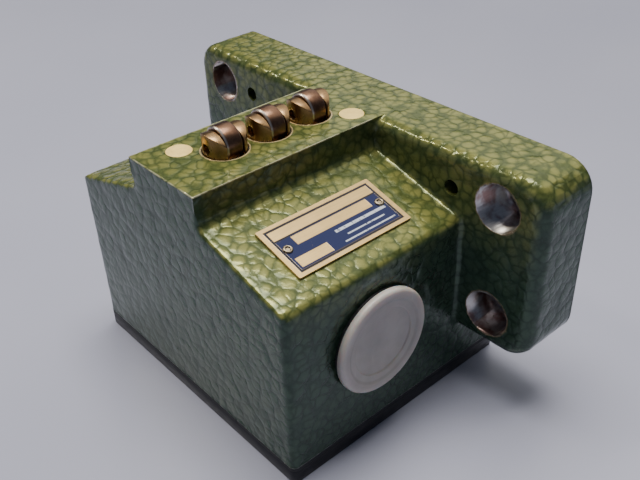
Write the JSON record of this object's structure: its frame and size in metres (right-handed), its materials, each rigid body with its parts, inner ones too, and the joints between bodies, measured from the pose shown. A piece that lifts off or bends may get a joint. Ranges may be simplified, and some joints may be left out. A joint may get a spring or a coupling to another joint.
{
  "type": "multiple position limit switch",
  "caption": "Cast hammer-finish limit switch housing with a mounting flange and a row of spring-returned roller plungers over snap-action contact inserts.",
  "frame": {"origin": "centre of the four mounting holes, on the mounting face", "axes": "+X along the flange, +Y out of the mounting face towards the machine, +Z the way the plungers point"},
  "size_m": [0.12, 0.067, 0.0675],
  "materials": {
    "hammer_lacquer": "green hammer-finish lacquer on cast aluminium",
    "black_enamel": "glossy black",
    "black_rubber": "matte black rubber",
    "zinc_steel": "zinc-plated steel",
    "nameplate": "anodised plate with blue and dark printed fields",
    "rivet_metal": "plain rivet",
    "grey_polymer": "grey translucent plastic",
    "bare_steel": "ground flush with the block",
    "carrier_steel": "zinc-plated sheet",
    "bush_bronze": "sintered bronze",
    "plunger_steel": "hardened, bronze-toned steel",
    "roller_steel": "hardened, dark browned steel",
    "pin_steel": "hardened steel",
    "spring_steel": "spring wire",
    "phenolic": "brown phenolic moulding",
    "white_polymer": "white plastic",
    "contact_brass": "plain brass"
  },
  "bodies": {
    "housing": {"housing": "hammer_lacquer", "cover_gasket": "black_rubber", "bottom_cover": "black_enamel", "cover_screws": "zinc_steel", "nameplate": "nameplate", "nameplate_rivets": "rivet_metal", "blanking_plug": "grey_polymer", "plug_seal": "black_rubber", "locating_pins": "bare_steel", "carrier_plate": "carrier_steel", "carrier_screws": "zinc_steel", "insert_screws": "zinc_steel", "terminal_screws": "contact_brass", "earth_screw": "contact_brass", "guide_bush_1": "bush_bronze", "guide_bush_2": "bush_bronze", "guide_bush_3": "bush_bronze", "wiper_seal_1": "black_rubber", "wiper_seal_2": "black_rubber", "wiper_seal_3": "black_rubber", "return_spring_1": "spring_steel", "return_spring_2": "spring_steel", "return_spring_3": "spring_steel", "contact_insert_1": "phenolic", "contact_insert_2": "phenolic", "contact_insert_3": "phenolic", "fixed_contacts_1": "contact_brass", "fixed_contacts_2": "contact_brass", "fixed_contacts_3": "contact_brass"},
    "plunger_1": {"plunger_1": "plunger_steel", "axle_pin_1": "pin_steel"},
    "roller_1": {"roller_1": "roller_steel"},
    "insert_button_1": {"insert_button_1": "white_polymer"},
    "contact_bridge_1": {"contact_bridge_1": "contact_brass"},
    "plunger_2": {"plunger_2": "plunger_steel", "axle_pin_2": "pin_steel"},
    "roller_2": {"roller_2": "roller_steel"},
    "insert_button_2": {"insert_button_2": "white_polymer"},
    "contact_bridge_2": {"contact_bridge_2": "contact_brass"},
    "plunger_3": {"plunger_3": "plunger_steel", "axle_pin_3": "pin_steel"},
    "roller_3": {"roller_3": "roller_steel"},
    "insert_button_3": {"insert_button_3": "white_polymer"},
    "contact_bridge_3": {"contact_bridge_3": "contact_brass"}
  },
  "joints": [
    {"name": "plunger_slide_1", "type": "slide", "parent": "housing", "child": "plunger_1", "axis": [0, 0, -1], "range_m": [0, 0.005], "stiffness_N_per_m": 1500, "springref_m": -0.005, "deforming": ["return_spring_1"]},
    {"name": "roller_spin_1", "type": "hinge", "parent": "plunger_1", "child": "roller_1", "pos_m": [0, -0.05, 0.0247], "axis": [0, 1, 0], "continuous": true},
    {"name": "button_slide_1", "type": "slide", "parent": "housing", "child": "insert_button_1", "axis": [0, 0, -1], "range_m": [0, 0.005]},
    {"name": "bridge_slide_1", "type": "slide", "parent": "housing", "child": "contact_bridge_1", "axis": [0, 0, -1], "range_m": [0, 0.001]},
    {"name": "plunger_slide_2", "type": "slide", "parent": "housing", "child": "plunger_2", "axis": [0, 0, -1], "range_m": [0, 0.005], "stiffness_N_per_m": 1500, "springref_m": -0.005, "deforming": ["return_spring_2"]},
    {"name": "roller_spin_2", "type": "hinge", "parent": "plunger_2", "child": "roller_2", "pos_m": [0, -0.038, 0.0247], "axis": [0, 1, 0], "continuous": true},
    {"name": "button_slide_2", "type": "slide", "parent": "housing", "child": "insert_button_2", "axis": [0, 0, -1], "range_m": [0, 0.005]},
    {"name": "bridge_slide_2", "type": "slide", "parent": "housing", "child": "contact_bridge_2", "axis": [0, 0, -1], "range_m": [0, 0.001]},
    {"name": "plunger_slide_3", "type": "slide", "parent": "housing", "child": "plunger_3", "axis": [0, 0, -1], "range_m": [0, 0.005], "stiffness_N_per_m": 1500, "springref_m": -0.005, "deforming": ["return_spring_3"]},
    {"name": "roller_spin_3", "type": "hinge", "parent": "plunger_3", "child": "roller_3", "pos_m": [0, -0.026, 0.0247], "axis": [0, 1, 0], "continuous": true},
    {"name": "button_slide_3", "type": "slide", "parent": "housing", "child": "insert_button_3", "axis": [0, 0, -1], "range_m": [0, 0.005]},
    {"name": "bridge_slide_3", "type": "slide", "parent": "housing", "child": "contact_bridge_3", "axis": [0, 0, -1], "range_m": [0, 0.001]}
  ],
  "couplings": [
    {"joint": "button_slide_1", "follows": "plunger_slide_1", "ratio": 1},
    {"joint": "bridge_slide_1", "follows": "plunger_slide_1", "ratio": 0.2},
    {"joint": "button_slide_2", "follows": "plunger_slide_2", "ratio": 1},
    {"joint": "bridge_slide_2", "follows": "plunger_slide_2", "ratio": 0.2},
    {"joint": "button_slide_3", "follows": "plunger_slide_3", "ratio": 1},
    {"joint": "bridge_slide_3", "follows": "plunger_slide_3", "ratio": 0.2}
  ]
}
